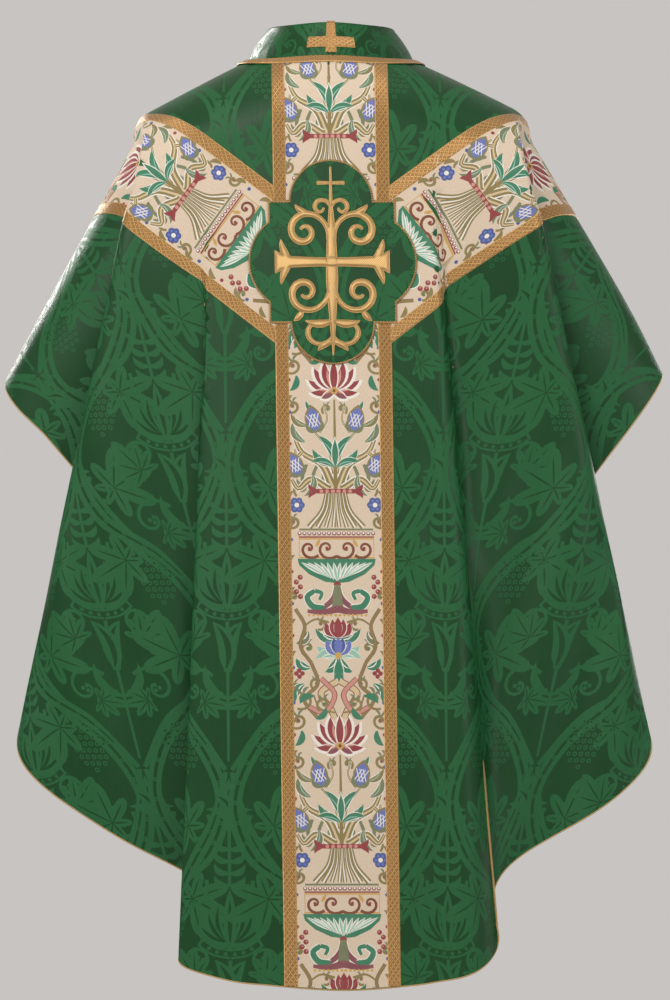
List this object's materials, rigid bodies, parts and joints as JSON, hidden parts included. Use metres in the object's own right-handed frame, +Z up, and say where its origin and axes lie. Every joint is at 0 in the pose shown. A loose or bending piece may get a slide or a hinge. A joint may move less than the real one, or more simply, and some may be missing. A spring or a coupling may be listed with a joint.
{
  "type": "chasuble",
  "caption": "Hung semi-Gothic chasuble of green silk damask with a cream tapestry Y orphrey, gold braids, an embroidered medallion and a stand collar.",
  "frame": {"origin": "middle of the neck opening, at the height of the shoulder points of the neck", "axes": "+Z up, -Y out of the panel that carries the medallion, X along the shoulders"},
  "size_m": [0.9012, 0.2322, 1.2952],
  "materials": {
    "green_silk": "satin damask",
    "gold_lining": "satin",
    "tapestry": "woven tapestry",
    "gold_braid": "woven metal-thread braid",
    "gold_thread": "couched metal thread",
    "canvas": "matt"
  },
  "bodies": {
    "root": {"back_arm_left": "tapestry", "back_arm_right": "tapestry", "back_braid_arm_base_left": "gold_braid", "back_braid_arm_base_right": "gold_braid", "back_braid_arm_top_left": "gold_braid", "back_braid_arm_top_right": "gold_braid", "back_braid_lower_left": "gold_braid", "back_braid_lower_right": "gold_braid", "back_braid_upper_left": "gold_braid", "back_braid_upper_right": "gold_braid", "back_column_lower": "tapestry", "back_column_upper": "tapestry", "back_lining": "gold_lining", "back_shell": "green_silk", "collar_core": "canvas", "collar_cross": "gold_braid", "collar_inner": "gold_lining", "collar_outer": "green_silk", "front_arm_left": "tapestry", "front_arm_right": "tapestry", "front_braid_arm_base_left": "gold_braid", "front_braid_arm_base_right": "gold_braid", "front_braid_arm_top_left": "gold_braid", "front_braid_arm_top_right": "gold_braid", "front_braid_column_left": "gold_braid", "front_braid_column_right": "gold_braid", "front_column": "tapestry", "front_lining": "gold_lining", "front_shell": "green_silk", "medallion_cord": "gold_thread", "medallion_emblem": "gold_thread", "medallion_ground": "green_silk", "neck_braid_back": "gold_braid", "neck_braid_front": "gold_braid"}
  },
  "joints": []
}
